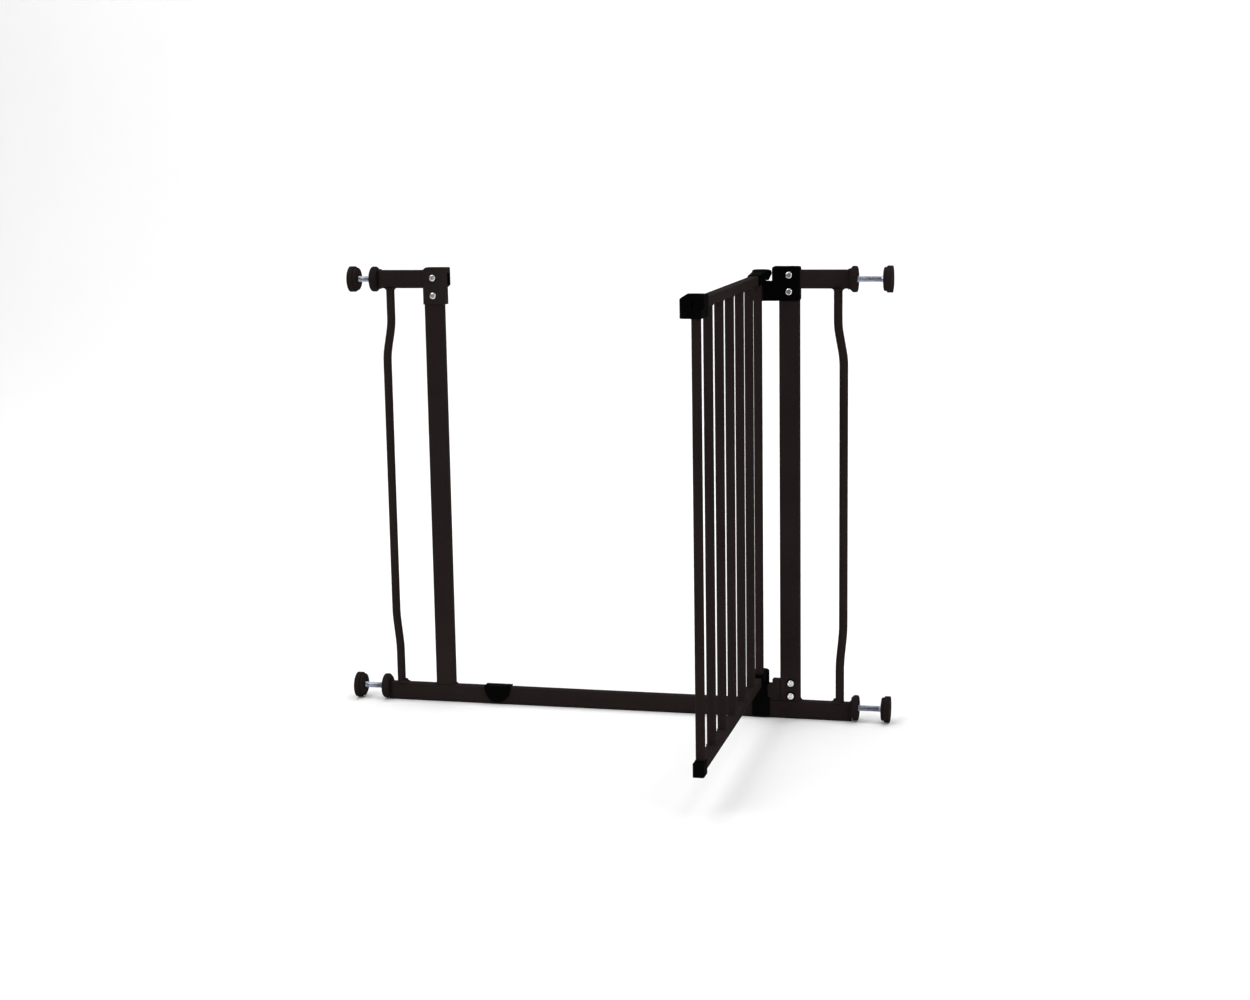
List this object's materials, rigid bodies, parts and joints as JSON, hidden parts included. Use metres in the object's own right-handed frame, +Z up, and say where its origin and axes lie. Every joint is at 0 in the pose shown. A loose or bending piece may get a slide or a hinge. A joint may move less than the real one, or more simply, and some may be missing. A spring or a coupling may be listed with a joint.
{
  "type": "safety gate",
  "caption": "Pressure-fitted metal safety gate: tubular frame with an open barred door, corner spindles with hand wheels and wall cups.",
  "frame": {"origin": "middle of the threshold bar's underside", "axes": "+X along the threshold bar towards the hinge side, -Y towards the side the door stands open to, +Z up"},
  "size_m": [0.9285, 0.553, 0.7485],
  "materials": {
    "frame_paint": "satin brown-black powder coat",
    "satin_plastic": "satin brown-black",
    "black_plastic": "fine-grained black",
    "wheel_plastic": "black, glass-filled",
    "foot_plastic": "satin black",
    "cup_plastic": "matt black",
    "slide_plastic": "satin dark grey",
    "bolt_plastic": "smooth black acetal",
    "washer_plastic": "smooth nylon",
    "threaded_steel": "bright zinc plate",
    "zinc_steel": "zinc plate",
    "black_steel": "black oxide",
    "spring_steel": "drawn wire",
    "bright_screws": "bright nickel plate"
  },
  "bodies": {
    "frame": {"base_tube": "frame_paint", "left_upright": "frame_paint", "right_upright": "frame_paint", "top_left_arm": "frame_paint", "top_right_arm": "frame_paint", "left_side_bar": "frame_paint", "right_side_bar": "frame_paint", "tube_end_bushes": "wheel_plastic", "latch_receiver": "satin_plastic", "latch_receiver_cover": "satin_plastic", "strike_plate": "black_steel", "top_hinge_bracket": "black_plastic", "top_hinge_bracket_cover": "black_plastic", "bottom_hinge_bracket": "satin_plastic", "bottom_pivot_block": "black_plastic", "bracket_screws": "bright_screws", "bracket_nuts": "bright_screws", "screw_washers": "washer_plastic", "top_hinge_pin": "zinc_steel", "bottom_hinge_pin": "zinc_steel", "hinge_washers": "washer_plastic", "threshold_clip": "black_plastic"},
    "door": {"door_top_rail": "frame_paint", "door_bottom_rail": "frame_paint", "door_bar_1": "frame_paint", "door_bar_2": "frame_paint", "door_bar_3": "frame_paint", "door_bar_4": "frame_paint", "door_bar_5": "frame_paint", "door_bar_6": "frame_paint", "door_bar_7": "frame_paint", "top_hinge_cap": "black_plastic", "bottom_hinge_cap": "black_plastic", "bottom_rail_end_cap": "black_plastic", "handle_left_shell": "black_plastic", "handle_right_shell": "black_plastic", "handle_screws": "bright_screws", "spring_stop": "black_plastic", "latch_spring": "spring_steel"},
    "latch": {"latch_bolt": "bolt_plastic", "thumb_slide": "slide_plastic"},
    "spindle_top_left": {"spindle_top_left": "threaded_steel", "spindle_foot_top_left": "foot_plastic", "wall_cup_top_left": "cup_plastic"},
    "hand_wheel_top_left": {"hand_wheel_top_left": "wheel_plastic"},
    "spindle_bottom_left": {"spindle_bottom_left": "threaded_steel", "spindle_foot_bottom_left": "foot_plastic", "wall_cup_bottom_left": "cup_plastic"},
    "hand_wheel_bottom_left": {"hand_wheel_bottom_left": "wheel_plastic"},
    "spindle_top_right": {"spindle_top_right": "threaded_steel", "spindle_foot_top_right": "foot_plastic", "wall_cup_top_right": "cup_plastic"},
    "hand_wheel_top_right": {"hand_wheel_top_right": "wheel_plastic"},
    "spindle_bottom_right": {"spindle_bottom_right": "threaded_steel", "spindle_foot_bottom_right": "foot_plastic", "wall_cup_bottom_right": "cup_plastic"},
    "hand_wheel_bottom_right": {"hand_wheel_bottom_right": "wheel_plastic"}
  },
  "joints": [
    {"name": "door_swing", "type": "hinge", "parent": "frame", "child": "door", "pos_m": [0.2515, 0, 0.39], "axis": [0, 0, 1], "range_deg": [-180, 0]},
    {"name": "latch_travel", "type": "slide", "parent": "door", "child": "latch", "axis": [0, -1, 0], "range_m": [0, 0.0115]},
    {"name": "spindle_top_left_travel", "type": "slide", "parent": "frame", "child": "spindle_top_left", "axis": [-1, 0, 0], "range_m": [-0.022, 0.022]},
    {"name": "hand_wheel_top_left_turn", "type": "hinge", "parent": "frame", "child": "hand_wheel_top_left", "pos_m": [-0.404, 0, 0.727], "axis": [-1, 0, 0], "range_deg": [-5280.5, 5280.5]},
    {"name": "spindle_bottom_left_travel", "type": "slide", "parent": "frame", "child": "spindle_bottom_left", "axis": [-1, 0, 0], "range_m": [-0.022, 0.022]},
    {"name": "hand_wheel_bottom_left_turn", "type": "hinge", "parent": "frame", "child": "hand_wheel_bottom_left", "pos_m": [-0.404, 0, 0.0215], "axis": [-1, 0, 0], "range_deg": [-5280.5, 5280.5]},
    {"name": "spindle_top_right_travel", "type": "slide", "parent": "frame", "child": "spindle_top_right", "axis": [1, 0, 0], "range_m": [-0.022, 0.022]},
    {"name": "hand_wheel_top_right_turn", "type": "hinge", "parent": "frame", "child": "hand_wheel_top_right", "pos_m": [0.404, 0, 0.727], "axis": [1, 0, 0], "range_deg": [-5280.5, 5280.5]},
    {"name": "spindle_bottom_right_travel", "type": "slide", "parent": "frame", "child": "spindle_bottom_right", "axis": [1, 0, 0], "range_m": [-0.022, 0.022]},
    {"name": "hand_wheel_bottom_right_turn", "type": "hinge", "parent": "frame", "child": "hand_wheel_bottom_right", "pos_m": [0.404, 0, 0.0215], "axis": [1, 0, 0], "range_deg": [-5280.5, 5280.5]}
  ],
  "couplings": [
    {"joint": "hand_wheel_top_left_turn", "follows": "spindle_top_left_travel", "rad_per_m": -4188.8},
    {"joint": "hand_wheel_bottom_left_turn", "follows": "spindle_bottom_left_travel", "rad_per_m": -4188.8},
    {"joint": "hand_wheel_top_right_turn", "follows": "spindle_top_right_travel", "rad_per_m": -4188.8},
    {"joint": "hand_wheel_bottom_right_turn", "follows": "spindle_bottom_right_travel", "rad_per_m": -4188.8}
  ]
}
